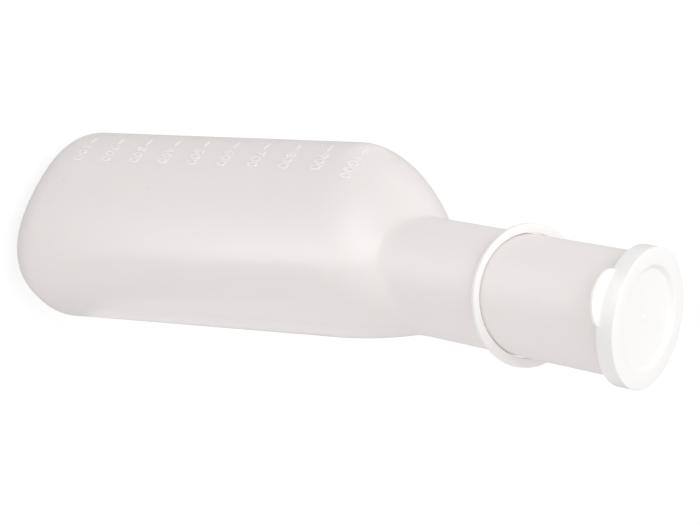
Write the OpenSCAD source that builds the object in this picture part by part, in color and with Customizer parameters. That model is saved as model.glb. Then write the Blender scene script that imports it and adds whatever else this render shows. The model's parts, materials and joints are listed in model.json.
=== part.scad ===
// Urine bottle: a one-litre blow-moulded bottle with an oval body, a domed shoulder and a wide
// neck that stands off centre and leans towards one side, and a push-on lid that hangs on the
// bottle by a strap and a loose retaining ring round the neck.
// Units are millimetres. The bottle stands upright: +Z runs up the body's axis, the origin is
// the middle of the flat base, X is the body's width and Y its depth. The neck leans to -Y.

/* [Body] */
// Width of the oval body, along X
body_w = 74; // [68:1:84]
// Depth of the oval body, along Y
body_d = 98; // [90:1:108]
// Height of the straight wall, where the shoulder starts
body_h = 185; // [150:1:200]
// How far the body narrows by the time it reaches the shoulder, as a share of its size
body_draft = 0.04; // [0:0.005:0.06]
// Squareness of the oval: 2 is an ellipse, more is boxier
body_square = 2.4; // [2:0.1:3]
// Radius of the rounded edge round the base
base_edge_r = 24; // [12:1:28]
// Width of the flat foot that the bottle stands on, round the hollow in its base
foot_w = 6; // [4:0.5:8]
// Depth of the hollow in the base
base_hollow = 1.8; // [1:0.1:3]
// Wall thickness all over the bottle
wall = 1.5; // [1:0.1:2]

/* [Shoulder] */
// Height at which the dome of the shoulder would close, above the straight wall
dome_h = 67; // [60:1:75]
// Fullness of the dome: 1 is a cone, 2 is a quarter ellipse
dome_full = 1.7; // [1.5:0.05:2]
// How far the top of the dome leans towards the neck's side
dome_lean = 36; // [32:1:40]
// Softness of the crease where the dome meets the neck
crease = 2.4; // [1.5:0.1:3]

/* [Neck] */
// Outside diameter of the neck
neck_d = 53; // [52:0.5:54]
// Distance of the neck's axis from the body's axis, at the top of the straight wall
neck_shift = 11.35; // [10:0.05:13]
// Lean of the neck away from the body's axis, in degrees
neck_lean = 6.75; // [5:0.25:8]
// Length of the neck's axis, from the level of the straight wall's top to the mouth
neck_l = 159.4; // [150:0.1:170]
// Outside diameter of the bead round the mouth that the lid is pressed over
bead_d = 56; // [55:0.5:56]
// Height of the bead
bead_h = 3; // [2:0.5:4]
// Depth of the shallow bevel inside the mouth, which guides the lid's plug
bevel_h = 3.5; // [3.2:0.1:5]
// How far the bevel widens the mouth's radius
bevel_w = 0.5; // [0.3:0.1:0.8]

/* [Lid] */
// Outside diameter of the lid
lid_d = 60; // [59.5:0.5:62]
// Height of the lid's skirt below the underside of its top
skirt_h = 6.3; // [5:0.1:6.5]
// Wall of the lid's skirt and of its top
lid_wall = 1.5; // [1.2:0.1:1.6]
// Diameter of the round recess in the lid's top
recess_d = 45; // [42:0.5:46]
// Depth of the recess, which reaches into the mouth as a shallow plug
recess_depth = 1.8; // [1.4:0.1:2.2]
// Width of the slope between the lid's rim and the recess's floor
recess_slope = 1.7; // [0.8:0.1:2.5]
// How far the half-round thumb tab stands out from the skirt
tab_out = 9.2; // [4:0.1:10]
// Width of the thumb tab where it leaves the skirt
tab_w = 24; // [14:1:26]
// Thickness of the thumb tab
tab_t = 1.4; // [1.2:0.1:2]

/* [Tether] */
// Turn of the whole tether round the neck, in degrees from +X
tether_turn = 18; // [0:0.1:360]
// Outside diameter of the retaining ring
ring_d = 62.5; // [62:0.5:64]
// Gap between the neck and the ring, whose soft band is pulled oval where it leans
ring_play = 0.4; // [0.3:0.1:0.8]
// Thickness of the ring's band
ring_t = 2; // [1.6:0.1:2]
// Tilt of the ring on the neck, raised on the strap's side, in degrees
ring_tilt = 19.1; // [0:0.1:19.5]
// Distance of the ring's centre below the mouth, along the neck
ring_below_mouth = 56.6; // [50:0.1:65]
// Width of the strap
strap_w = 7; // [5:0.5:9]
// Thickness of the strap
strap_t = 1.2; // [0.9:0.1:1.4]

/* [Hidden] */
$fn = 96;

sides = 72;              // points round each section of the bottle
hollow_slope = 5;        // width of the slope between the foot and the hollow's flat middle
edge_rings = 8;          // sections up the rounded base edge
dome_rings = 14;         // sections up the dome
dome_used = 0.86;        // share of the dome's height that is drawn, the rest lies inside the neck
dome_sink = 0.15;        // depth below the neck's surface at which the dome ends
neck_r = neck_d / 2;
bore_r = neck_r - wall;
bead_r = bead_d / 2;
lid_r = lid_d / 2;
recess_r = recess_d / 2;
ring_r = ring_d / 2;
lid_clear = 0.5;         // gap between the bead and the lid's skirt
skirt_in_r = bead_r + lid_clear;
seat_gap = 0.05;         // gap between the mouth's rim and the lid's underside
lid_edge_r = 0.5;        // rounding of the lid's upper outer edge
tab_rise = 0.3;          // height of the thumb tab above the skirt's lower edge
fold_gap = 0.2;          // slit between the strap's end and the lug that it folds against
hinge_x = lid_r + 1.1;   // the strap's fold line stands this far out from the neck's axis
hinge_z = neck_l - skirt_h + strap_t / 2;
root_bite = 0.8;         // depth to which the strap is moulded into the ring

// ---- the bottle's wall as a stack of sections -------------------------------------------

function sign_pow(v, p) = sign(v) * pow(abs(v), p);

// one oval section: half width hx, half depth hy, middle at y = cy, height z
function oval(hx, hy, cy, z) = [
    for (i = [0 : sides - 1])
        let (t = 360 * i / sides)
        [hx * sign_pow(cos(t), 2 / body_square), cy + hy * sign_pow(sin(t), 2 / body_square), z]
];

// share of the full section that is left at share u of the dome's height
function dome_share(u) = pow(1 - pow(u, dome_full), 1 / dome_full);

// the larger of two radii, blended softly where they are alike
function soft_max(a, b, soft) = (a + b + sqrt(pow(a - b, 2) + soft * soft)) / 2;

// pushes a section of the dome out to the leaning neck wherever it would fall inside it
function over_neck(section, r, soft) = [
    for (p = section)
        let (
            y0 = -neck_shift - (p.z - body_h) * tan(neck_lean),
            d = [p.x, (p.y - y0) * cos(neck_lean)],
            k = soft_max(norm(d), r, soft) / norm(d)
        )
        [p.x * k, y0 + (p.y - y0) * k, p.z]
];

// all sections of the skin that lies a distance t inside the outer one, from the base's hollow up
function skin(t) = let (
        hx = body_w / 2 - t,
        hy = body_d / 2 - t,
        er = base_edge_r - t,
        top = 1 - body_draft,
        in_foot = er + foot_w + t
    ) concat(
    [for (k = [1, 0.5, 0])
        let (inset = in_foot + hollow_slope * k)
        oval(hx - inset, hy - inset, 0, t + base_hollow * sin(90 * k))],
    [for (i = [0 : edge_rings])
        let (a = 90 * i / edge_rings)
        oval(hx - er * (1 - sin(a)), hy - er * (1 - sin(a)), 0, t + er * (1 - cos(a)))],
    [for (i = [0 : dome_rings])
        let (
            u = dome_used * sin(90 * i / dome_rings),
            g = dome_share(u) * top,
            lean = -dome_lean * (1 - dome_share(u)),
            near_top = pow(u / dome_used, 6)
        )
        over_neck(oval(body_w / 2 * g - t, body_d / 2 * g - t, lean, body_h + dome_h * u),
            neck_r - t - dome_sink * near_top, crease * (1 - near_top))]
);

// closed solid through a stack of sections
module loft(sections) {
    n = len(sections);
    points = [for (s = sections) each s];
    sheets = [for (k = [0 : n - 2], i = [0 : sides - 1])
        let (a = k * sides + i, b = k * sides + (i + 1) % sides)
        [a, a + sides, b + sides, b]];
    floor_face = [for (i = [0 : sides - 1]) i];
    roof_face = [for (i = [sides - 1 : -1 : 0]) (n - 1) * sides + i];
    polyhedron(points, concat(sheets, [floor_face, roof_face]), convexity = 6);
}

// moves children into the neck's frame: z runs up the neck's axis
module on_neck() translate([0, -neck_shift, body_h]) rotate([neck_lean, 0, 0]) children();

// moves children into the tether's frame: x points at the strap
module on_tether() on_neck() rotate([0, 0, tether_turn]) children();

module bottle() color([0.93, 0.92, 0.91]) {
    tube_z = dome_h * dome_used - 8;
    difference() {
        union() {
            loft(skin(0));
            on_neck() translate([0, 0, tube_z]) cylinder(r = neck_r, h = neck_l - tube_z);
            on_neck() rotate_extrude() bead_outline();
        }
        loft(skin(wall));
        on_neck() translate([0, 0, tube_z - 2]) cylinder(r = bore_r, h = neck_l - tube_z + 3);
        on_neck() translate([0, 0, neck_l - bevel_h])
            cylinder(r1 = bore_r, r2 = bore_r + bevel_w * 1.2, h = bevel_h * 1.2);
    }
}

// half section of the bead round the mouth: flat on top, ramped below
module bead_outline() {
    root = neck_r - wall / 2;
    polygon([
        [root, neck_l - bead_h - 1.5], [neck_r, neck_l - bead_h - 1.5],
        [bead_r, neck_l - bead_h + 0.5], [bead_r, neck_l - 0.8],
        [bead_r - 0.8, neck_l], [root, neck_l]
    ]);
}

// loose ring round the neck: a tilted disc with a hole that runs along the neck
module retaining_ring() color([0.97, 0.97, 0.96]) on_tether() difference() {
    blank_r = neck_r - 1;
    translate([0, 0, neck_l - ring_below_mouth]) rotate([0, -ring_tilt, 0]) rotate_extrude()
        translate([blank_r, 0]) rounded_bar(ring_r - blank_r, ring_t, 0.5);
    cylinder(r = neck_r + ring_play, h = neck_l);
}

// bar section with rounded corners, standing on the x axis' right side and centred on it
module rounded_bar(w, h, r) {
    translate([r, -h / 2]) square([w - 2 * r, h]);
    translate([0, r - h / 2]) square([w, h - 2 * r]);
    for (x = [r, w - r], y = [r - h / 2, h / 2 - r]) translate([x, y]) circle(r, $fn = 24);
}

// turns a shape drawn flat so that its y axis stands up along z, centred across the strap
module across() rotate([90, 0, 0]) children();

// strap: leaves the raised side of the ring, bends up, and runs along the neck to the fold line
module strap() color([0.97, 0.97, 0.96]) on_tether() {
    edge = [ring_r * cos(ring_tilt), neck_l - ring_below_mouth + ring_r * sin(ring_tilt)];
    bend_r = (hinge_x - edge.x) / (1 - sin(ring_tilt));
    bend = [hinge_x - bend_r, edge.y + bend_r * cos(ring_tilt)];
    across() {
        translate(edge) rotate(ring_tilt) translate([-root_bite, -strap_t / 2, -strap_w / 2])
            cube([root_bite, strap_t, strap_w]);
        translate(bend) rotate(ring_tilt - 90) rotate_extrude(angle = 90 - ring_tilt)
            translate([bend_r - strap_t / 2, -strap_w / 2]) square([strap_t, strap_w]);
        translate([hinge_x - strap_t / 2, bend.y, -strap_w / 2])
            cube([strap_t, hinge_z - bend.y, strap_w]);
        translate([hinge_x, hinge_z]) cylinder(r = strap_t / 2, h = strap_w, center = true);
    }
}

// half section of the lid: skirt, flat rim with a rounded edge, and the dished middle
module lid_outline() {
    low = neck_l - skirt_h;
    under = neck_l + seat_gap;
    top = under + lid_wall;
    floor_top = top - recess_depth;
    floor_r = recess_r - recess_slope;
    plug_r = recess_r + lid_wall * 0.8;
    plug_low = floor_top - lid_wall * 0.8;
    translate([skirt_in_r, low]) square([lid_r - skirt_in_r, top - lid_edge_r - low]);
    translate([plug_r - 0.2, under]) square([lid_r - lid_edge_r - plug_r + 0.2, lid_wall]);
    translate([lid_r - lid_edge_r, top - lid_edge_r]) circle(lid_edge_r, $fn = 32);
    polygon([
        [0, plug_low], [floor_r + lid_wall / 2, plug_low], [plug_r, under + 0.2], [plug_r, top],
        [recess_r, top], [floor_r, floor_top], [0, floor_top]
    ]);
}

// push-on lid with the lug that the strap folds against and, opposite, the thumb tab
module lid() color([0.98, 0.98, 0.97]) on_tether() {
    low = neck_l - skirt_h;
    lug_end = hinge_x - strap_t / 2 - fold_gap;
    tab_r = (pow(tab_w / 2, 2) + pow(tab_out, 2)) / (2 * tab_out);
    rotate_extrude() lid_outline();
    translate([lid_r - lid_wall / 2, -strap_w / 2, low])
        cube([lug_end - lid_r + lid_wall / 2, strap_w, strap_t]);
    translate([0, 0, low + tab_rise]) difference() {
        translate([-lid_r - tab_out + tab_r, 0, 0]) cylinder(r = tab_r, h = tab_t);
        translate([0, 0, -1]) cylinder(r = lid_r - lid_wall / 2, h = tab_t + 2);
    }
}

bottle();
retaining_ring();
strap();
lid();
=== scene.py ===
# %% [markdown]
# # A urine bottle with a push-on lid
# The bottle is blown from milky polyethylene: a tube of hot plastic is closed in a mould and
# inflated until it meets the walls. That leaves a thin even wall, soft edges, a fine seam where
# the mould's halves met, and a skin that is satin and a little cloudy. The lid, its strap and
# the loose ring round the neck are one white moulding. The CAD model already holds the true
# sizes and joints. This script rebuilds the same forms as smooth meshes that ride on its joints,
# adds the fine detail that the solids leave out, and gives every piece its finish.

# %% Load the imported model
import json
import math

import bmesh
import bpy
from mathutils import Matrix, Vector


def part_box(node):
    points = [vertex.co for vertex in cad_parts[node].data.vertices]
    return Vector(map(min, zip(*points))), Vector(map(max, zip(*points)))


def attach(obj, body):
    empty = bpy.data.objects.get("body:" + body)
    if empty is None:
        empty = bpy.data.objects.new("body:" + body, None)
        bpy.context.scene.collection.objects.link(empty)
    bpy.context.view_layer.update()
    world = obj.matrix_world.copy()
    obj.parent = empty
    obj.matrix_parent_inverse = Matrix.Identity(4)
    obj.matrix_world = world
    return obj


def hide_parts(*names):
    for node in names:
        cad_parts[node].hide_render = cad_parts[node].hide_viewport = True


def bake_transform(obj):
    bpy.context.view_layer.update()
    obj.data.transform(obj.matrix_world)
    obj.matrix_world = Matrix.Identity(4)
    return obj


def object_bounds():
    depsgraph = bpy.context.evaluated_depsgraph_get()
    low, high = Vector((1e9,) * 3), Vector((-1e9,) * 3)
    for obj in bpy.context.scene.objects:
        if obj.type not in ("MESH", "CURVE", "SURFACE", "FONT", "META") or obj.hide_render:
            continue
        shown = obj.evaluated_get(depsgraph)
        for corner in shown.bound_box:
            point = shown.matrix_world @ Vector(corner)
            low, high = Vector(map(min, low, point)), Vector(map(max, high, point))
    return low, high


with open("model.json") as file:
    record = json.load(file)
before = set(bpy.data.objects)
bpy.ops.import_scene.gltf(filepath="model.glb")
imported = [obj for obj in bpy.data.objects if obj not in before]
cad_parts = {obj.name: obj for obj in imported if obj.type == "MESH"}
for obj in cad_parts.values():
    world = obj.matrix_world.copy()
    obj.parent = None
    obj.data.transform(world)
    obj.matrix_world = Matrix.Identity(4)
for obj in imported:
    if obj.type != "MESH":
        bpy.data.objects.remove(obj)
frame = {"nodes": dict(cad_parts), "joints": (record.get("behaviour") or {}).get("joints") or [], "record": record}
cad_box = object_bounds()
MM = 0.001
WELD = 0.001 * MM            # points closer than this are one point


def in_mm(values):
    return [round(v / MM, 1) for v in values]


# %% [markdown]
# ## Read the sizes that the frame can give
# The widest part of the body, the neck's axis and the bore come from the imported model, so they
# can't drift away from it. The two hinges also give the tether's own directions: its axis runs
# up the neck, and the fold line of the strap runs across it.

# %% Sizes and axes from the frame
joints = {j["name"]: j for j in frame["joints"]}
mouth = next(m for m in frame["record"]["mounts"] if m["name"] == "mouth")

body_w = 2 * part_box("bottle")[1].x
body_d = 2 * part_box("bottle")[1].y
bore_r = mouth["dims"]["r_mm"] * MM
up_neck = Vector(joints["tether_turn"]["axis"]).normalized()
ring_middle = Vector(joints["tether_turn"]["pos_m"])
fold_line = Vector(joints["lid_flip"]["pos_m"])
fold_axis = Vector(joints["lid_flip"]["axis"]).normalized()
to_strap = fold_axis.cross(up_neck).normalized()
lean = math.atan2(-up_neck.y, up_neck.z)
print("neck leans", round(math.degrees(lean), 2), "degrees, bore", round(bore_r / MM, 1), "mm")

# %% [markdown]
# ## The bottle's own numbers
# A few sizes can't be read off a box: where the straight wall ends, how full the shoulder's dome
# is and how thick the plastic is. They are named here with the values that the CAD source has,
# but for three: the dome's height and lean and the crease at the neck's foot are drawn about half
# a millimetre closer to the real shoulder than the solid has them.

# %% Named sizes of the bottle
wall = 1.5 * MM
body_h = 185 * MM            # top of the straight wall
body_draft = 0.04            # share by which the body narrows up to there
body_square = 2.4            # 2 would be an ellipse
base_edge_r = 24 * MM
foot_w = 6 * MM
base_hollow = 1.8 * MM
hollow_slope = 5 * MM
dome_h = 66.5 * MM
dome_full = 1.7
dome_lean = 39 * MM
dome_used = 0.86
crease = 1.2 * MM
neck_l = 159.4 * MM
bead_r = 28 * MM
bead_h = 3 * MM
bevel_h = 3.5 * MM
bevel_w = 0.5 * MM
neck_r = bore_r + wall
neck_foot = ring_middle - up_neck * ((ring_middle.z - body_h) / up_neck.z)
print("neck axis crosses the shoulder's level at y =", round(neck_foot.y / MM, 2), "mm")

# %% [markdown]
# ## Helpers that every piece uses
# A piece is made in a bmesh, given smooth faces with sharp edges kept sharp, and linked to the
# scene with its place in its mesh. Then every piece but the strap rides on a body, and where the
# CAD model has the same piece, the new one stands in for its node. Wall, seam and strap are all
# drawn in one way: a circle with a cap gives the first ring of points, its edge is extruded again
# and again with each new ring put in its place, and a second cap closes the far end. A number on
# each point tells which place in the ring it has.

# %% Turn a bmesh into a finished piece
def make_piece(name, bm, sharp_deg=40, outward=True):
    if outward:
        bmesh.ops.recalc_face_normals(bm, faces=bm.faces)
    mesh = bpy.data.meshes.new(name)
    bm.to_mesh(mesh)
    bm.free()
    mesh.shade_smooth()
    mesh.set_sharp_from_angle(angle=math.radians(sharp_deg))
    piece = bpy.data.objects.new(name, mesh)
    bpy.context.scene.collection.objects.link(piece)
    print(name, len(mesh.vertices), "points", len(mesh.polygons), "faces")
    return piece


# %% Draw a closed tube through rings of points
def sweep(bm, rings):
    place = bm.verts.layers.int.verify()
    circle = bmesh.ops.create_circle(bm, segments=len(rings[0]), radius=1, cap_ends=True)["verts"]
    edge = list(dict.fromkeys(e for v in circle for e in v.link_edges))
    for i, v in enumerate(circle):
        v[place] = i
        v.co = rings[0][i]
    for ring in rings[1:]:
        grown = bmesh.ops.extrude_edge_only(bm, edges=edge)["geom"]
        edge = [g for g in grown if isinstance(g, bmesh.types.BMEdge) and g.is_boundary]
        for v in (g for g in grown if isinstance(g, bmesh.types.BMVert)):
            v.co = ring[v[place]]
    bmesh.ops.contextual_create(bm, geom=edge)


# %% Round every sharp edge
def soften(bm, offset, segments):
    sharp = [e for e in bm.edges if e.is_manifold and e.calc_face_angle(0) > math.radians(40)]
    bmesh.ops.bevel(bm, geom=sharp, offset=offset, offset_type="OFFSET", segments=segments,
                    profile=0.5, affect="EDGES", material=-1)


# %% [markdown]
# ## A skin made of rings
# The wall is a stack of closed rings. Each ring is an oval that is squarer than an ellipse, which
# a power on the sine and cosine gives. In the straight wall the ovals only shrink a little. In
# the shoulder they shrink and lean towards the neck, and wherever a point would fall inside the
# neck it is pushed out onto it. The larger of two radii, rounded where they are alike, makes the
# soft crease between shoulder and neck. The rounding dies out towards the dome's last ring, which
# is the neck's own outline.

# %% Ovals and the rule that pushes them out to the neck
AROUND = 200


def signed_power(value, power):
    return math.copysign(abs(value) ** power, value)


def oval(half_x, half_y, middle_y, z):
    power = 2 / body_square
    ring = []
    for i in range(AROUND):
        turn = math.tau * i / AROUND
        ring.append(Vector((half_x * signed_power(math.cos(turn), power),
                            middle_y + half_y * signed_power(math.sin(turn), power), z)))
    return ring


def over_neck(ring, radius, softness):
    pushed = []
    for p in ring:
        y0 = neck_foot.y - (p.z - body_h) * math.tan(lean)
        away = math.hypot(p.x, (p.y - y0) * math.cos(lean))
        gap = away - radius
        k = (away + radius + math.sqrt(gap * gap + softness * softness)) / 2 / away
        pushed.append(Vector((p.x * k, y0 + (p.y - y0) * k, p.z)))
    return pushed


# %% Rings of the base, the straight wall and the dome
EDGE_STEPS = 18
WALL_STEPS = 12
DOME_STEPS = 76


def base_and_wall(t):
    """The rings of a skin that lies the depth t inside the bottle's outside."""
    half_x, half_y, edge = body_w / 2 - t, body_d / 2 - t, base_edge_r - t
    rings = []
    for k in (1, 0.8, 0.6, 0.4, 0.2, 0):
        inset = edge + foot_w + t + hollow_slope * k
        lift = base_hollow * math.sin(math.pi / 2 * k) ** 2
        rings.append(oval(half_x - inset, half_y - inset, 0, t + lift))
    for i in range(EDGE_STEPS + 1):
        a = math.pi / 2 * i / EDGE_STEPS
        inset = edge * (1 - math.sin(a))
        rings.append(oval(half_x - inset, half_y - inset, 0, t + edge * (1 - math.cos(a))))
    z0 = t + edge
    for i in range(1, WALL_STEPS):
        share = i / WALL_STEPS
        left = 1 - body_draft * share
        rings.append(oval(body_w / 2 * left - t, body_d / 2 * left - t, 0,
                          z0 + (body_h - z0) * share))
    return rings


def dome_share(u):
    """How much of its width the dome still has at the share u of its height."""
    return (1 - u ** dome_full) ** (1 / dome_full)


def dome(t):
    rings = []
    last = math.asin(dome_used ** (dome_full / 2))
    for i in range(DOME_STEPS + 1):
        u = math.sin(last * i / DOME_STEPS) ** (2 / dome_full)
        full = dome_share(u)
        ring = oval(body_w / 2 * full * (1 - body_draft) - t,
                    body_d / 2 * full * (1 - body_draft) - t,
                    -dome_lean * (1 - full), body_h + dome_h * u)
        rings.append(over_neck(ring, neck_r - t, crease * (1 - (u / dome_used) ** 6)))
    return rings


def skin(t):
    return base_and_wall(t) + dome(t)


outer, inner = skin(0), skin(wall)
print(len(outer), "rings outside, at z =", in_mm((outer[0][0].z, outer[-1][0].z)), "mm")

# %% [markdown]
# ## The neck and the bead round the mouth
# The last ring of the dome is level, but the neck leans. So each point slides up along the neck
# and shifts a little round it, until the ring is square to the axis and its points are evenly
# spread. From there on a ring is only a radius and a distance along the axis, and a short list of
# those two numbers draws the bead that the lid goes over, the rim, and the bevel inside the mouth.

# %% Rings up the neck
side_x = Vector((1, 0, 0))
side_y = up_neck.cross(side_x)


def neck_rings(start_ring, stations):
    """A ring for each radius, distance along the axis and share by which it is square and even."""
    from_foot = [p - neck_foot for p in start_ring]
    start_l = [q.dot(up_neck) for q in from_foot]
    start_a = [math.atan2(q.dot(side_y), q.dot(side_x)) % math.tau for q in from_foot]
    rings = []
    for radius, l_flat, share in stations:
        ring = []
        for i in range(AROUND):
            even = math.tau * i / AROUND
            off = (start_a[i] - even + math.pi) % math.tau - math.pi
            a = even + off * (1 - share)
            l = start_l[i] + (l_flat - start_l[i]) * share
            aside = side_x * math.cos(a) + side_y * math.sin(a)
            ring.append(neck_foot + up_neck * l + aside * radius)
        rings.append(ring)
    return rings


def square(pairs):
    return [(radius, l, 1) for radius, l in pairs]


# %% The tube, the bead and the bore
tube_l = 80 * MM             # from here up the rings are square to the neck
tube_top = neck_l - bead_h - 1.5 * MM
bead_low = neck_l - bead_h
bevel_r = bore_r + bevel_w
TURN_STEPS = 10
TUBE_STEPS = 6

straighten = [(neck_r, tube_l, i / TURN_STEPS) for i in range(1, TURN_STEPS + 1)]
tube = [(neck_r, tube_l + (tube_top - 1 * MM - tube_l) * i / TUBE_STEPS)
        for i in range(1, TUBE_STEPS + 1)]
bead = [
    (neck_r, tube_top - 0.3 * MM), (neck_r + 0.1 * MM, tube_top + 0.1 * MM),
    (bead_r - 0.25 * MM, bead_low + 0.15 * MM), (bead_r - 0.06 * MM, bead_low + 0.4 * MM),
    (bead_r, bead_low + 0.7 * MM), (bead_r, neck_l - 1.1 * MM),
    (bead_r - 0.1 * MM, neck_l - 0.75 * MM), (bead_r - 0.65 * MM, neck_l - 0.15 * MM),
    (bead_r - 0.95 * MM, neck_l), (bevel_r + 0.3 * MM, neck_l),
    (bevel_r + 0.05 * MM, neck_l - 0.15 * MM), (bevel_r, neck_l - 0.4 * MM),
    (bore_r + 0.05 * MM, neck_l - bevel_h + 0.3 * MM), (bore_r, neck_l - bevel_h),
]
bore = [(bore_r, tube_l + (neck_l - 5 * MM - tube_l) * i / TUBE_STEPS)
        for i in range(TUBE_STEPS, -1, -1)]
bore_foot = [(bore_r, tube_l, i / TURN_STEPS) for i in range(TURN_STEPS - 1, 0, -1)]
outer_neck = neck_rings(outer[-1], straighten + square(tube + bead))
inner_neck = neck_rings(inner[-1], square(bore) + bore_foot)
print("mouth at", in_mm(neck_foot + up_neck * neck_l), "mm")

# %% [markdown]
# ## Join the rings into one closed wall
# The rings run from the middle of the base up the outside, roll over the rim and come back down
# the inside. Swept in that order they give a true wall of even thickness, so light can enter it,
# spread and leave again, which is what makes polyethylene look milky.

# %% Build the wall
bm = bmesh.new()
sweep(bm, outer + outer_neck + inner_neck + inner[::-1])
bottle_wall = make_piece("bottle_wall", bm, sharp_deg=60)
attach(bottle_wall, "bottle")
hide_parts("bottle")

# %% [markdown]
# ## The seam that the mould leaves
# A blow mould closes along the bottle's plane of symmetry, and a hair of plastic marks the join
# up both sides. Across the base the mould pinches the tube shut, which leaves a stouter ridge in
# the hollow. It could all be a bump in the material, but then it would be missing from the mesh.
# Here a fine rod is swept along the wall and mostly sunk into it, so only its back shows.

# %% Rings of a fine rod that follows a path in the plane of symmetry
SEAM_R = 0.25 * MM
SEAM_PROUD = 0.04 * MM
PINCH_R = 0.5 * MM
PINCH_STEPS = 20
ROD_SIDES = 8
across_seam = Vector((1, 0, 0))


def direction(path, n):
    return (path[min(n + 1, len(path) - 1)] - path[max(n - 1, 0)]).normalized()


def rod_rings(path, radius):
    rings = []
    for n, here in enumerate(path):
        beside = across_seam.cross(direction(path, n))
        size = radius * min(1, (n + 1) / 4, (len(path) - n) / 4)
        turns = [math.tau * i / ROD_SIDES for i in range(ROD_SIDES)]
        rings.append([here + (across_seam * math.cos(a) + beside * math.sin(a)) * size
                      for a in turns])
    return rings


# %% The seam up both sides and the ridge across the base
FIRST_SEAM_RING = 9          # on the round edge of the base, just outside the foot


def seam_path(place):
    path = [ring[place] for ring in (outer + outer_neck)[FIRST_SEAM_RING:-len(bead)]]
    side = 1 if place < AROUND / 2 else -1
    sunk = []
    for n, here in enumerate(path):
        p = here + across_seam.cross(direction(path, n)) * (SEAM_R - SEAM_PROUD) * side
        p.y = side * min(side * p.y, body_d / 2 - SEAM_R)
        sunk.append(p)
    return sunk


bm = bmesh.new()
for place in (AROUND // 4, 3 * AROUND // 4):
    sweep(bm, rod_rings(seam_path(place), SEAM_R))
pinch_half = body_d / 2 - base_edge_r - foot_w - hollow_slope - 1 * MM
pinch = [Vector((0, pinch_half * (2 * i / PINCH_STEPS - 1), base_hollow))
         for i in range(PINCH_STEPS + 1)]
sweep(bm, rod_rings(pinch, PINCH_R))
mould_seam = make_piece("mould_seam", bm)
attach(mould_seam, "bottle")

# %% [markdown]
# ## The raised scale
# Ten numbers stand up from the flank near its edge, one for each hundred millilitres, each with a
# short line at its level. They are cut into the mould, so they are made of the wall's own
# plastic. A font gives each number as a flat mesh with a little thickness. Every point of it is
# then laid on the wall: its reading direction runs round the body, its height runs up it, and its
# thickness follows the wall's outward direction. The lines are boxes with bevelled edges, laid on
# the same way.

# %% Find the wall's surface on the flank
def flank(y, z):
    """The point of the outer wall at depth y and height z, on the side that faces -X."""
    if z < body_h:
        full, middle = 1 - body_draft * (z - base_edge_r) / (body_h - base_edge_r), 0
    else:
        left = dome_share((z - body_h) / dome_h)
        full, middle = left * (1 - body_draft), -dome_lean * (1 - left)
    across = abs(y - middle) / (body_d / 2 * full)
    return Vector((-body_w / 2 * full * (1 - across ** body_square) ** (1 / body_square), y, z))


def lay_on_flank(bm, y0, z0):
    step = 0.2 * MM
    for v in bm.verts:
        y, z = y0 - v.co.x, z0 + v.co.y
        here = flank(y, z)
        outward = (flank(y, z + step) - here).cross(flank(y + step, z) - here).normalized()
        if outward.x > 0:
            outward = -outward
        v.co = here + outward * v.co.z


# %% Numbers and lines of the scale
MARK_PITCH = 18.1 * MM
FIRST_MARK = 31.5 * MM
NUMBER_H = 5.4 * MM
NUMBER_Y = 25.5 * MM
LINE_Y = 30 * MM
LINE_L = 5 * MM
LINE_W = 0.8 * MM
MARK_PROUD = 0.4 * MM
NUMBER_EDGE_R = 0.08 * MM
LINE_EDGE_R = 0.12 * MM
BOLDER_BY = 0.06 * MM
DIGIT_SHARE = 0.7            # height of a digit as a share of the font's size


def number_mesh(text):
    curve = bpy.data.curves.new("number", "FONT")
    curve.body = text
    curve.size = NUMBER_H / DIGIT_SHARE
    curve.align_x = "LEFT"
    curve.align_y = "CENTER"
    curve.extrude = MARK_PROUD - NUMBER_EDGE_R
    curve.bevel_depth = NUMBER_EDGE_R
    curve.offset = BOLDER_BY
    holder = bpy.data.objects.new("number", curve)
    bpy.context.scene.collection.objects.link(holder)
    drawn = holder.evaluated_get(bpy.context.evaluated_depsgraph_get())
    mesh = bpy.data.meshes.new_from_object(drawn)
    bpy.data.objects.remove(holder)
    bpy.data.curves.remove(curve)
    return mesh


def line_bmesh():
    bm = bmesh.new()
    bmesh.ops.create_cube(bm, size=1)
    bmesh.ops.scale(bm, vec=(LINE_L, LINE_W, 2 * MARK_PROUD), verts=bm.verts)
    long_edges = [e for e in bm.edges if abs((e.verts[0].co - e.verts[1].co).x) > LINE_W]
    bmesh.ops.subdivide_edges(bm, edges=long_edges, cuts=5)
    soften(bm, LINE_EDGE_R, 2)
    return bm


marks = bmesh.new()
for k in range(1, 11):
    level = FIRST_MARK + MARK_PITCH * (k - 1)
    text_mesh = number_mesh(str(100 * k))
    number = bmesh.new()
    number.from_mesh(text_mesh)
    bmesh.ops.remove_doubles(number, verts=number.verts, dist=0.005 * MM)
    lay_on_flank(number, NUMBER_Y, level)
    line = line_bmesh()
    lay_on_flank(line, LINE_Y, level)
    for part in (number, line):
        part.to_mesh(text_mesh)
        marks.from_mesh(text_mesh)
        part.free()
    bpy.data.meshes.remove(text_mesh)
scale_marks = make_piece("scale_marks", marks)
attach(scale_marks, "bottle")

# %% [markdown]
# ## The lid
# The lid is round, so half of its section, spun once round the neck's axis, makes all of it: the
# skirt that goes over the bead, the flat rim and the round recess that dips into the mouth. The
# section is drawn with plain corners. After the spin every sharp edge is bevelled, which is
# quicker than drawing each small radius and gives the soft edges of a moulded part.

# %% Place a shape that was drawn round the neck's axis
tether_frame = Matrix((to_strap, fold_axis, up_neck)).transposed().to_4x4()
tether_frame.translation = neck_foot
SPIN_STEPS = 144


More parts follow.
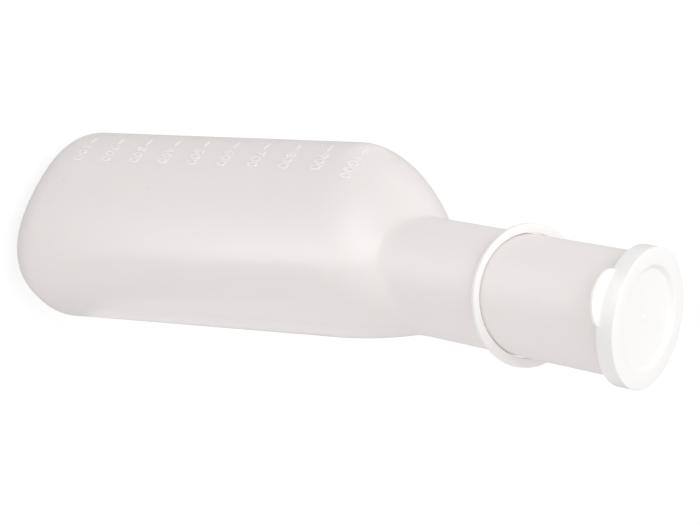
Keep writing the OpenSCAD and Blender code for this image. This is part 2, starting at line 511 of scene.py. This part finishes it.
def spun(bm, section):
    """Spins a closed section, given as (radius, height) pairs, a full turn round Z."""
    verts = [bm.verts.new((r, 0, z)) for r, z in section]
    pairs = zip(verts, verts[1:] + verts[:1])
    edges = [bm.edges.new((a, b)) for a, b in pairs if a.co.x > 0 or b.co.x > 0]
    bmesh.ops.spin(bm, geom=verts + edges, cent=(0, 0, 0), axis=(0, 0, 1), angle=math.tau,
                   steps=SPIN_STEPS, use_merge=True)
    bmesh.ops.remove_doubles(bm, verts=bm.verts, dist=WELD)


# %% Spin the lid and soften its edges
lid_r = 30 * MM
skirt_h = 6.3 * MM
lid_wall = 1.5 * MM
recess_r = 22.5 * MM
recess_depth = 1.8 * MM
recess_slope = 1.7 * MM
skirt_gap = 0.5 * MM         # between the bead and the skirt
rim_gap = 0.05 * MM          # between the mouth's rim and the lid
plug_wall = 0.8 * lid_wall
lid_edge_r = 0.5 * MM
skirt_in_r = bead_r + skirt_gap
lid_low = neck_l - skirt_h
lid_under = neck_l + rim_gap
lid_top = lid_under + lid_wall
recess_floor = lid_top - recess_depth
floor_r = recess_r - recess_slope
plug_r = recess_r + plug_wall
plug_low = recess_floor - plug_wall

bm = bmesh.new()
spun(bm, [
    (0, recess_floor), (floor_r, recess_floor), (recess_r, lid_top), (lid_r, lid_top),
    (lid_r, lid_low), (skirt_in_r, lid_low), (skirt_in_r, lid_under), (plug_r, lid_under),
    (floor_r + lid_wall / 2, plug_low), (0, plug_low),
])
soften(bm, lid_edge_r, 4)
print("lid reaches", round(lid_top / MM, 2), "mm along the neck")

# %% [markdown]
# ## The thumb tab and the gate mark
# The tab is a half-round tongue that stands out of the skirt opposite the strap. Its outline is
# two arcs: the outer one is the tongue's own, the inner one follows the lid, a little inside the
# skirt's face, so that the two meet without a gap. Bridging the arcs fills the crescent between
# them, which is then extruded to the tab's thickness and bevelled. The gate mark is the small nub
# in the middle of the recess where the plastic entered the mould.

# %% Add the tab and the gate mark to the lid
tab_out = 9.2 * MM
tab_w = 24 * MM
tab_t = 1.4 * MM
tab_low = lid_low + 0.3 * MM
tab_edge_r = 0.45 * MM
tab_r = ((tab_w / 2) ** 2 + tab_out ** 2) / (2 * tab_out)
tab_x = -lid_r - tab_out + tab_r
root_r = lid_r - lid_wall / 2
meet_x = (tab_x ** 2 + root_r ** 2 - tab_r ** 2) / (2 * tab_x)
meet_y = math.sqrt(root_r ** 2 - meet_x ** 2)
nub_r = 1.1 * MM
nub_h = 0.6 * MM             # half of it is sunk into the recess's floor
nub_edge_r = 0.25 * MM


def arc(bm, middle_x, radius, half_angle, steps=48):
    verts = []
    for i in range(steps + 1):
        a = math.pi + half_angle * (2 * i / steps - 1)
        verts.append(bm.verts.new((middle_x + radius * math.cos(a), radius * math.sin(a), tab_low)))
    return [bm.edges.new(pair) for pair in zip(verts, verts[1:])]


def add_part(bm, part):
    mesh = bpy.data.meshes.new("part")
    part.to_mesh(mesh)
    part.free()
    bm.from_mesh(mesh)
    bpy.data.meshes.remove(mesh)


tab = bmesh.new()
tongue = arc(tab, tab_x, tab_r, math.atan2(meet_y, tab_x - meet_x))
root = arc(tab, 0, root_r, math.atan2(meet_y, -meet_x))
bmesh.ops.bridge_loops(tab, edges=tongue + root)
bmesh.ops.remove_doubles(tab, verts=tab.verts, dist=WELD)
grown = bmesh.ops.extrude_face_region(tab, geom=tab.faces[:])["geom"]
bmesh.ops.translate(tab, vec=(0, 0, tab_t),
                    verts=[g for g in grown if isinstance(g, bmesh.types.BMVert)])
bmesh.ops.recalc_face_normals(tab, faces=tab.faces)
soften(tab, tab_edge_r, 4)
add_part(bm, tab)

nub = bmesh.new()
bmesh.ops.create_cone(nub, cap_ends=True, segments=32, radius1=nub_r, radius2=nub_r,
                      depth=nub_h, matrix=Matrix.Translation((0, 0, recess_floor)))
soften(nub, nub_edge_r, 3)
add_part(bm, nub)
bm.transform(tether_frame)
lid_cap = make_piece("lid_cap", bm, sharp_deg=50)
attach(lid_cap, "lid")
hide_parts("lid")
print("tab stands", round(tab_out / MM, 1), "mm out of the skirt")

# %% [markdown]
# ## The loose ring
# The ring is a soft flat band that hangs on the neck at a slant. A round hole can't lean and stay
# close to the neck all round, and in use the band is pulled oval. So it is spun flat and round,
# then its inner side is slid out to where the neck's own surface, with a little play, passes
# through the slanted band. The outer side stays round.

# %% Spin the ring, open its hole along the neck and tilt it
ring_r = 31.25 * MM
ring_t = 2 * MM
ring_play = 0.4 * MM
ring_edge_r = 0.45 * MM
ring_tilt = math.radians(19.1)
hole_r = neck_r + ring_play
ring_l = (ring_middle - neck_foot).length

bm = bmesh.new()
half_t = ring_t / 2
spun(bm, [(hole_r, -half_t), (ring_r, -half_t), (ring_r, half_t), (hole_r, half_t)])
soften(bm, ring_edge_r, 4)
for v in bm.verts:
    away = v.co.xy.length
    share = (ring_r - away) / (ring_r - hole_r)
    c, s = v.co.x / away * math.cos(ring_tilt), v.co.y / away
    k, lift = c * c + s * s, v.co.z * math.sin(ring_tilt)
    hole = (c * lift + math.sqrt(c * c * lift * lift + k * (hole_r ** 2 - lift * lift))) / k
    v.co.xy *= (ring_r - share * (ring_r - hole)) / away
tilt = Matrix.Rotation(-ring_tilt, 4, "Y")
bm.transform(tether_frame @ Matrix.Translation((0, 0, ring_l)) @ tilt)
neck_ring = make_piece("neck_ring", bm, sharp_deg=50)
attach(neck_ring, "tether")
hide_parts("retaining_ring")
print("ring lies", round(ring_l / MM, 1), "mm up the neck")

# %% [markdown]
# ## The strap
# The strap is a soft strip, moulded onto the ring at one end and onto the lid's skirt at the
# other. It leaves the ring in the ring's own slanted plane, curls up until it is parallel to the
# neck and folds over at the lid. The strip is one mesh in this shape, baked into place without a
# body to ride on. The rows of faces are close together at the fold, which lets it turn smoothly.

# %% The strap's centre line, in the plane that cuts ring and lid in two
strap_w = 7 * MM
strap_t = 1.2 * MM
fold_x = (fold_line - neck_foot).dot(to_strap)
fold_l = (fold_line - neck_foot).dot(up_neck)
root_bite = 0.8 * MM
slant_x, slant_l = math.cos(ring_tilt), math.sin(ring_tilt)
edge_x, edge_l = ring_r * slant_x, ring_l + ring_r * slant_l
curl_r = (fold_x - edge_x) / (1 - slant_l)
curl_x, curl_l = fold_x - curl_r, edge_l + curl_r * slant_x
tight_r = strap_t / 2

CURL_STEPS, RUN_STEPS, FOLD_STEPS, TOP_STEPS = 8, 6, 8, 4
centre_line = [(edge_x - root_bite * slant_x, edge_l - root_bite * slant_l)]
for i in range(CURL_STEPS + 1):
    a = (ring_tilt - math.pi / 2) * (1 - i / CURL_STEPS)
    centre_line.append((curl_x + curl_r * math.cos(a), curl_l + curl_r * math.sin(a)))
fold_start, fold_end = fold_l - 3 * MM, fold_l - tight_r
for low, high, steps in ((curl_l, fold_start, RUN_STEPS), (fold_start, fold_end, FOLD_STEPS)):
    centre_line += [(fold_x, low + (high - low) * i / steps) for i in range(1, steps + 1)]
for i in range(1, TOP_STEPS + 1):
    a = math.pi / 2 * i / TOP_STEPS
    centre_line.append((fold_x - tight_r + tight_r * math.cos(a), fold_end + tight_r * math.sin(a)))
centre_line.append((lid_r - lid_wall / 2, fold_l))
print("strap runs from and to", in_mm((edge_l, fold_l)), "mm up the neck")

# %% Sweep the strap with its tight turn at the fold
corner = 0.35 * MM
FLARE = 0.35                 # how much wider the strap is where it leaves the ring
FLARE_ROWS = 5
half_w, half_t = strap_w / 2, strap_t / 2
outline = [(half_w, -half_t + corner), (half_w, half_t - corner), (half_w - corner, half_t),
           (-half_w + corner, half_t), (-half_w, half_t - corner), (-half_w, -half_t + corner),
           (-half_w + corner, -half_t), (half_w - corner, -half_t)]
rings = []
for n, (x, l) in enumerate(centre_line):
    before, after = centre_line[max(n - 1, 0)], centre_line[min(n + 1, len(centre_line) - 1)]
    run = Vector((after[0] - before[0], after[1] - before[1])).normalized()
    flare = 1 + FLARE * max(0, 1 - n / FLARE_ROWS) ** 2
    rings.append([Vector((x + run.y * t, w * flare, l - run.x * t)) for w, t in outline])
bm = bmesh.new()
sweep(bm, rings)
bm.transform(tether_frame)
lid_strap = make_piece("lid_strap", bm, sharp_deg=60)
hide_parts("strap")
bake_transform(lid_strap)

# %% [markdown]
# ## Node groups that the plastics share
# All the plastics have the same kinds of detail in other amounts, so each effect is a node group
# with named inputs. Cloudiness mixes two tints by a soft noise that is drawn out along the
# bottle, as the plastic flowed. Moulded skin gives the height of a fine grain on a slow ripple,
# and a roughness that drifts with it. Handling marks are the faint rubs, hairlines and specks
# that a washed and stacked bottle gathers. The neck is duller than the body, so one more group
# tells where it is. All patterns read Object coordinates, in metres, so a scale of 100 means a
# hundred patches to the metre.

# %% Small helpers for building groups
def new_group(name, inputs, outputs):
    group = bpy.data.node_groups.new(name, "ShaderNodeTree")
    for label, kind, value in inputs:
        socket = group.interface.new_socket(name=label, in_out="INPUT", socket_type=kind)
        socket.default_value = value
    for label, kind in outputs:
        group.interface.new_socket(name=label, in_out="OUTPUT", socket_type=kind)
    return group, group.nodes.new("NodeGroupInput"), group.nodes.new("NodeGroupOutput")


def add(tree, kind, **settings):
    """Adds a node. A setting is one of its own properties or the value of a socket."""
    node = tree.nodes.new(kind)
    for label, value in settings.items():
        if hasattr(node, label):
            setattr(node, label, value)
        else:
            node.inputs[label.replace("_", " ")].default_value = value
    return node


def feed(tree, value, socket):
    """Links another node's output to a socket, or sets the socket to a plain value."""
    if isinstance(value, bpy.types.NodeSocket):
        tree.links.new(value, socket)
    else:
        socket.default_value = value


# %% Helpers that return the output of the node they add
COLOR_A, COLOR_B, COLOR_OUT = 6, 7, 2    # a Mix node has sockets for each kind of data


def calculate(tree, operation, a, b):
    node = add(tree, "ShaderNodeMath", operation=operation)
    feed(tree, a, node.inputs[0])
    feed(tree, b, node.inputs[1])
    return node.outputs[0]


def calculate_vector(tree, operation, a, b=(0, 0, 0)):
    node = add(tree, "ShaderNodeVectorMath", operation=operation)
    feed(tree, a, node.inputs[0])
    feed(tree, b, node.inputs[1])
    return node.outputs["Value" if operation in ("LENGTH", "DOT_PRODUCT") else "Vector"]


def mix_colors(tree, factor, first, second):
    node = add(tree, "ShaderNodeMix", data_type="RGBA")
    feed(tree, factor, node.inputs["Factor"])
    feed(tree, first, node.inputs[COLOR_A])
    feed(tree, second, node.inputs[COLOR_B])
    return node.outputs[COLOR_OUT]


def remap(tree, value, low, high, to_low=0.0, to_high=1.0):
    """Turns low to high into to_low to to_high, with soft ends."""
    node = add(tree, "ShaderNodeMapRange", interpolation_type="SMOOTHSTEP", From_Min=low,
               From_Max=high, To_Min=to_low, To_Max=to_high)
    feed(tree, value, node.inputs["Value"])
    return node.outputs["Result"]


def stretched_noise(tree, stretch, scale, detail):
    """A noise on Object coordinates, with its own scale along each axis."""
    place = add(tree, "ShaderNodeTexCoord")
    mapping = add(tree, "ShaderNodeMapping", Scale=stretch)
    noise = add(tree, "ShaderNodeTexNoise", Detail=detail)
    feed(tree, place.outputs["Object"], mapping.inputs["Vector"])
    feed(tree, mapping.outputs["Vector"], noise.inputs["Vector"])
    feed(tree, scale, noise.inputs["Scale"])
    return noise.outputs["Fac"]


# %% Cloudiness
cloudiness, given, result = new_group(
    "cloudiness",
    [("Light tint", "NodeSocketColor", (0.8, 0.8, 0.8, 1)),
     ("Deep tint", "NodeSocketColor", (0.7, 0.7, 0.7, 1)), ("Patches", "NodeSocketFloat", 30.0)],
    [("Color", "NodeSocketColor")])
FINE_SHARE = 0.2
broad = stretched_noise(cloudiness, (1, 1, 0.35), given.outputs["Patches"], detail=4.0)
fine = stretched_noise(cloudiness, (1, 1, 0.12), 420.0, detail=2.0)
cloud = calculate(cloudiness, "ADD", calculate(cloudiness, "MULTIPLY", broad, 1 - FINE_SHARE),
                  calculate(cloudiness, "MULTIPLY", fine, FINE_SHARE))
tint = mix_colors(cloudiness, remap(cloudiness, cloud, 0.35, 0.65),
                  given.outputs["Light tint"], given.outputs["Deep tint"])
feed(cloudiness, tint, result.inputs["Color"])
print("group", cloudiness.name, "has", len(cloudiness.nodes), "nodes")

# %% Moulded skin
moulded_skin, given, result = new_group(
    "moulded_skin",
    [("Grain depth", "NodeSocketFloat", 0.01 * MM), ("Ripple depth", "NodeSocketFloat", 0.1 * MM),
     ("Smooth", "NodeSocketFloat", 0.3), ("Rough", "NodeSocketFloat", 0.4)],
    [("Height", "NodeSocketFloat"), ("Roughness", "NodeSocketFloat")])
grain = stretched_noise(moulded_skin, (1, 1, 1), 2600.0, detail=2.0)
ripple = stretched_noise(moulded_skin, (1, 1, 0.45), 42.0, detail=1.0)
height = calculate(moulded_skin, "ADD",
                   calculate(moulded_skin, "MULTIPLY", grain, given.outputs["Grain depth"]),
                   calculate(moulded_skin, "MULTIPLY", ripple, given.outputs["Ripple depth"]))
feed(moulded_skin, height, result.inputs["Height"])
drift = remap(moulded_skin, stretched_noise(moulded_skin, (1, 1, 0.6), 70.0, detail=5.0), 0.3, 0.7)
span = calculate(moulded_skin, "SUBTRACT", given.outputs["Rough"], given.outputs["Smooth"])
roughness = calculate(moulded_skin, "ADD", given.outputs["Smooth"],
                      calculate(moulded_skin, "MULTIPLY", drift, span))
feed(moulded_skin, roughness, result.inputs["Roughness"])
print("group", moulded_skin.name, "has", len(moulded_skin.nodes), "nodes")

# %% Handling marks: rubs and hairlines
handling_marks, given, result = new_group(
    "handling_marks", [("Amount", "NodeSocketFloat", 0.5)],
    [("Rubs", "NodeSocketFloat"), ("Specks", "NodeSocketFloat")])
lengthwise = stretched_noise(handling_marks, (1, 1, 0.03), 1500.0, detail=1.0)
crosswise = stretched_noise(handling_marks, (0.04, 0.04, 1), 1300.0, detail=1.0)
where = stretched_noise(handling_marks, (1, 1, 0.6), 28.0, detail=3.0)
lines = calculate(handling_marks, "MAXIMUM", remap(handling_marks, lengthwise, 0.66, 0.78),
                  remap(handling_marks, crosswise, 0.68, 0.80))
rubs = calculate(handling_marks, "MULTIPLY", lines, remap(handling_marks, where, 0.45, 0.65))
feed(handling_marks, calculate(handling_marks, "MULTIPLY", rubs, given.outputs["Amount"]),
     result.inputs["Rubs"])

# %% Handling marks: a speck in about one cell out of ten
place = add(handling_marks, "ShaderNodeTexCoord")
cells = add(handling_marks, "ShaderNodeTexVoronoi", Scale=110.0)
feed(handling_marks, place.outputs["Object"], cells.inputs["Vector"])
chosen = add(handling_marks, "ShaderNodeSeparateColor")
feed(handling_marks, cells.outputs["Color"], chosen.inputs["Color"])
near = remap(handling_marks, cells.outputs["Distance"], 0.02, 0.045, 1.0, 0.0)
few = remap(handling_marks, chosen.outputs["Red"], 0.90, 0.91)
specks = calculate(handling_marks, "MULTIPLY", near, few)
feed(handling_marks, calculate(handling_marks, "MULTIPLY", specks, given.outputs["Amount"]),
     result.inputs["Specks"])
print("group", handling_marks.name, "has", len(handling_marks.nodes), "nodes")

# %% Where the neck is: near its axis, with a wider soft edge on the side that it leans to
neck_part, given, result = new_group("neck_part", [], [("Mask", "NodeSocketFloat")])
place = add(neck_part, "ShaderNodeTexCoord")
from_foot = calculate_vector(neck_part, "SUBTRACT", place.outputs["Object"], neck_foot)
off_axis = calculate_vector(neck_part, "CROSS_PRODUCT", from_foot, up_neck)
away = calculate_vector(neck_part, "LENGTH", off_axis)
along = calculate_vector(neck_part, "DOT_PRODUCT", from_foot, up_neck)
front = calculate_vector(neck_part, "DOT_PRODUCT", from_foot, -side_y)
reach = remap(neck_part, front, 0.2 * neck_r, 1.2 * neck_r, 0.6 * MM, 14 * MM)
beyond = calculate(neck_part, "SUBTRACT", away, neck_r + 0.2 * MM)
slim = remap(neck_part, calculate(neck_part, "DIVIDE", beyond, reach), 0.0, 1.0, 1.0, 0.0)
high = remap(neck_part, along, 15 * MM, 30 * MM)
feed(neck_part, calculate(neck_part, "MULTIPLY", slim, high), result.inputs["Mask"])
print("group", neck_part.name, "has", len(neck_part.nodes), "nodes")

# %% [markdown]
# ## The plastics
# Milky polyethylene lets some light in and scatters it, so a quarter of its shading is
# subsurface, which gives the thin shell a soft glow. With more of it, thin parts that lie on the
# wall would turn dark. Its skin is satin: a lamp shows as a soft band. The raised marks are the
# same plastic, coloured in paler tints as a painted highlight for the light that they catch. The
# white moulding has pigment in it and is truly paler. Neither finish lets anything through. No
# roughness is below 0.28, since a render's denoiser draws a line where a smoother skin meets a
# duller one. Numbers that are the same all over sit on the shader's own sockets, so that they
# survive export.

# %% A plastic from the groups
SPECK_TINT = (0.12, 0.10, 0.09, 1)
RUB_DULLS = 0.25             # what a full rub adds to the roughness
RUB_DEPTH = 0.006 * MM
SCATTER_REACH = 1 * MM
BLUE_REACHES_LEAST = (1.0, 0.92, 0.86)


def place_group(tree, group, **values):
    node = tree.nodes.new("ShaderNodeGroup")
    node.node_tree = group
    for label, value in values.items():
        node.inputs[label.replace("_", " ")].default_value = value
    return node


def plastic(name, light_tint, deep_tint, patches, grain, ripple, smooth, rough, marks, scatter=0.0,
            neck_dulls=0.0):
    material = bpy.data.materials.new(name)
    material.use_nodes = True
    tree = material.node_tree
    shader = tree.nodes["Principled BSDF"]
    cloud = place_group(tree, cloudiness, Light_tint=(*light_tint, 1), Deep_tint=(*deep_tint, 1),
                        Patches=patches)
    skin_node = place_group(tree, moulded_skin, Grain_depth=grain, Ripple_depth=ripple,
                            Smooth=smooth, Rough=rough)
    worn = place_group(tree, handling_marks, Amount=marks)
    soiled = mix_colors(tree, worn.outputs["Specks"], cloud.outputs["Color"], SPECK_TINT)
    feed(tree, soiled, shader.inputs["Base Color"])
    dulled = calculate(tree, "MULTIPLY", worn.outputs["Rubs"], RUB_DULLS)
    rougher = calculate(tree, "ADD", skin_node.outputs["Roughness"], dulled)
    if neck_dulls:
        mask = place_group(tree, neck_part).outputs["Mask"]
        rougher = calculate(tree, "ADD", rougher, calculate(tree, "MULTIPLY", mask, neck_dulls))
    feed(tree, rougher, shader.inputs["Roughness"])
    bump = add(tree, "ShaderNodeBump", Strength=1.0, Distance=1.0)
    lowered = calculate(tree, "MULTIPLY", worn.outputs["Rubs"], -RUB_DEPTH)
    feed(tree, calculate(tree, "ADD", skin_node.outputs["Height"], lowered), bump.inputs["Height"])
    feed(tree, bump.outputs["Normal"], shader.inputs["Normal"])
    for label, value in (("IOR", 1.51), ("Subsurface Weight", scatter),
                         ("Subsurface Radius", BLUE_REACHES_LEAST),
                         ("Subsurface Scale", SCATTER_REACH)):
        shader.inputs[label].default_value = value
    return material


# %% The three finishes and what wears them
milky = plastic("milky_polyethylene", (0.90, 0.850, 0.840), (0.88, 0.838, 0.825), patches=26.0,
                grain=0.003 * MM, ripple=0.08 * MM, smooth=0.28, rough=0.31, marks=0.3,
                scatter=0.25, neck_dulls=0.24)
# Painted highlight: the scale marks wear a paler copy of the milky plastic, which stands in for the light that
# their raised faces catch.
marks_painted_highlight = plastic("polyethylene_painted_highlight", (0.95, 0.92, 0.91), (0.94, 0.91, 0.90), patches=60.0,
                 grain=0.003 * MM, ripple=0.01 * MM, smooth=0.30, rough=0.36, marks=0.2)
white = plastic("white_polyethylene", (0.94, 0.925, 0.91), (0.925, 0.91, 0.895), patches=34.0,
                grain=0.003 * MM, ripple=0.03 * MM, smooth=0.32, rough=0.38, marks=0.3)
nodes = frame["nodes"]
for finish, wearers in ((milky, (bottle_wall, mould_seam, nodes["bottle"])),
                        (marks_painted_highlight, (scale_marks,)),
                        (white, (lid_cap, neck_ring, lid_strap, nodes["lid"],
                                 nodes["retaining_ring"], nodes["strap"]))):
    for piece in wearers:
        piece.data.materials.clear()
        piece.data.materials.append(finish)
    print(finish.name, "on", [piece.name for piece in wearers])

# %% [markdown]
# ## Floor and white background
# The bottle stands on a pale floor. To the camera the floor has to fade into a white background
# and still carry the bottle's shadow, so for camera rays most of its brightness is its own and
# only a part depends on the lamps. In reflections floor and background are one even light grey,
# so that no horizon shows in the plastic, and for the light that bounces off the floor onto the
# bottle it is a plain pale surface.

# %% The brightness of floor and background
FLOOR_HALF = 4.0
FLOOR_BELOW = 0.2 * MM
WHITE = (1, 1, 1, 1)
BLACK = (0, 0, 0, 1)
PALE = (0.80, 0.80, 0.80, 1)             # the floor as the bottle's light meets it
SHADE_CATCHER = (0.26, 0.26, 0.26, 1)    # the part of it that lamps light for the camera
OWN_GLOW = 0.80                          # the part that is its own
MIRRORED = 0.50
AMBIENT = 0.76


def ray_kinds(tree):
    """Is it a camera ray, and is it one that was mirrored or went through something?"""
    rays = add(tree, "ShaderNodeLightPath").outputs
    return rays["Is Camera Ray"], calculate(tree, "MAXIMUM", rays["Is Glossy Ray"],
                                            rays["Is Transmission Ray"])


# %% Floor
bm = bmesh.new()
bmesh.ops.create_grid(bm, x_segments=1, y_segments=1, size=FLOOR_HALF)
bmesh.ops.translate(bm, verts=bm.verts, vec=(0, 0, -FLOOR_BELOW))
floor = make_piece("floor", bm, outward=False)
pale = bpy.data.materials.new("pale_floor")
pale.use_nodes = True
tree = pale.node_tree
shader = tree.nodes["Principled BSDF"]
shader.inputs["Roughness"].default_value = 0.9
shader.inputs["Specular IOR Level"].default_value = 0.0
shader.inputs["Emission Color"].default_value = WHITE
seen, mirrored = ray_kinds(tree)
own_glow = calculate(tree, "MAXIMUM", calculate(tree, "MULTIPLY", mirrored, MIRRORED),
                     calculate(tree, "MULTIPLY", seen, OWN_GLOW))
feed(tree, own_glow, shader.inputs["Emission Strength"])
lit = mix_colors(tree, mirrored, mix_colors(tree, seen, PALE, SHADE_CATCHER), BLACK)
feed(tree, lit, shader.inputs["Base Color"])
floor.data.materials.append(pale)

# %% World
world = bpy.data.worlds.new("white_room")
bpy.context.scene.world = world
world.use_nodes = True
tree = world.node_tree
background = tree.nodes["Background"]
background.inputs["Color"].default_value = WHITE
seen, mirrored = ray_kinds(tree)
strength = calculate(tree, "ADD", AMBIENT, calculate(tree, "MULTIPLY", seen, 1 - AMBIENT))
change = calculate(tree, "MULTIPLY", mirrored, MIRRORED - AMBIENT)
feed(tree, calculate(tree, "ADD", strength, change), background.inputs["Strength"])
print("background: 1 for the camera,", MIRRORED, "in reflections,", AMBIENT, "as light")

# %% [markdown]
# ## Lamps
# A large soft lamp overhead gives most of the light. A second, weaker one stands on the side that
# the neck leans to and keeps that side from going grey. The soft band along the body is the
# reflection of a long light panel. Because the camera looks down, the standing wall mirrors what
# lies on the table in front of it, so that is where the panel lies. The shoulder curves away and
# mirrors what stands further off, so a second panel stands at the end of the first and carries the
# band on. Both are bright along one side and fade towards the other. Two dim cards on the table
# lift the body's edges. Panels and cards are there for their reflections alone.

# %% Soft lamps
def soft_lamp(name, size, brightness, place, aim, long_way=(0, 0, 1)):
    """An area lamp. brightness is what a mirror would show of it, where 1 is paper white."""
    lamp = bpy.data.lights.new(name, "AREA")
    lamp.shape = "RECTANGLE"
    lamp.size, lamp.size_y = size
    lamp.energy = brightness * math.pi * size[0] * size[1]
    holder = bpy.data.objects.new(name, lamp)
    back = (Vector(place) - Vector(aim)).normalized()
    across = Vector(long_way).cross(back).normalized()
    upward = back.cross(across)
    turn = Matrix((across, upward, back)).transposed().to_4x4()
    turn.translation = Vector(place)
    holder.matrix_world = turn
    holder.visible_camera = False
    bpy.context.scene.collection.objects.link(holder)
    print(name, size, "m at", [round(v, 3) for v in place])
    return holder


middle = (cad_box[0] + cad_box[1]) / 2
soft_lamp("overhead_softbox", (0.9, 0.9), 1.30, (-0.35, 0.22, 1.05), middle, (0, 1, 0))
soft_lamp("side_softbox", (0.6, 0.6), 0.85, (-0.35, -0.80, 0.65), (0, -0.03, 0.28))


# %% Panels that are only there to be mirrored
FOOT_BRIGHTNESS = 0.2


def mirrored_panel(name, size, brightness, place, aim, long_way, fade_in, fade_across):
    """Bright along one side, fading to nothing on the other, and fading in from its foot."""
    panel = soft_lamp(name, size, brightness, place, aim, long_way)
    panel.visible_diffuse = False
    panel.data.use_nodes = True
    tree = panel.data.node_tree
    where = add(tree, "ShaderNodeNewGeometry")
    parts = add(tree, "ShaderNodeSeparateXYZ")
    feed(tree, where.outputs["Parametric"], parts.inputs["Vector"])
    along = remap(tree, parts.outputs["Y"], 0.0, fade_in, FOOT_BRIGHTNESS, 1.0)
    rise = calculate(tree, "DIVIDE", parts.outputs["X"], fade_across)
    across = calculate(tree, "MINIMUM", rise, 1.0)
    feed(tree, calculate(tree, "MULTIPLY", across, along),
         tree.nodes["Emission"].inputs["Strength"])


# %% The two panels and the two cards
ABOVE_TABLE = 0.002
STRIP_LENGTH, STRIP_WIDTH = 0.90, 0.34
strip_foot = Vector((-0.060, -0.080, ABOVE_TABLE))
strip_way = Vector((-0.906, -0.423, 0)).normalized()
beside = Vector((strip_way.y, -strip_way.x, 0))
strip_middle = strip_foot + strip_way * STRIP_LENGTH / 2 + beside * STRIP_WIDTH / 2
mirrored_panel("table_panel", (STRIP_WIDTH, STRIP_LENGTH), 3.0, strip_middle,
               strip_middle + Vector((0, 0, 1)), strip_way, fade_in=0.25, fade_across=1.0)
mirrored_panel("standing_panel", (0.90, 0.27), 4.0, (-0.925, 0.135, 0.137),
               (-0.025, -0.025, 0.20), (0, 0, 1), fade_in=0.01, fade_across=0.45)
for name, size, brightness, x, y in (("near_card", (0.55, 0.45), 0.55, 0.33, -0.26),
                                     ("far_card", (0.50, 0.30), 0.60, -0.05, 0.56)):
    card = soft_lamp(name, size, brightness, (x, y, ABOVE_TABLE), (x, y, 1), (0, 1, 0))
    card.visible_diffuse = False

# %% [markdown]
# ## Camera
# The camera looks down on the bottle from beside the scale and is turned on its side, so the
# standing bottle lies across the picture with its mouth to the right. A longish lens keeps the
# proportions calm.

# %% Camera
VIEW_TURN = math.radians(-57.93)
VIEW_DROP = math.radians(33.35)
VIEW_ROLL = math.radians(93.9)
VIEW_DISTANCE = 0.82
AIM = Vector((0.0042, -0.0103, 0.1869))
LENS_MM = 90.37
SENSOR_MM = 36

back = Vector((math.sin(VIEW_TURN) * math.cos(VIEW_DROP),
               -math.cos(VIEW_TURN) * math.cos(VIEW_DROP), math.sin(VIEW_DROP)))
level = Vector((0, 0, 1)).cross(back).normalized()
upright = back.cross(level)
right = level * math.cos(VIEW_ROLL) + upright * math.sin(VIEW_ROLL)
up = back.cross(right)
lens = bpy.data.cameras.new("camera")
lens.sensor_width = SENSOR_MM
lens.lens = LENS_MM
camera = bpy.data.objects.new("camera", lens)
turn = Matrix((right, up, back)).transposed().to_4x4()
turn.translation = AIM + back * VIEW_DISTANCE
camera.matrix_world = turn
bpy.context.scene.collection.objects.link(camera)
bpy.context.scene.camera = camera
bpy.context.scene.view_settings.view_transform = "Standard"
print("camera at", [round(v, 4) for v in turn.translation])
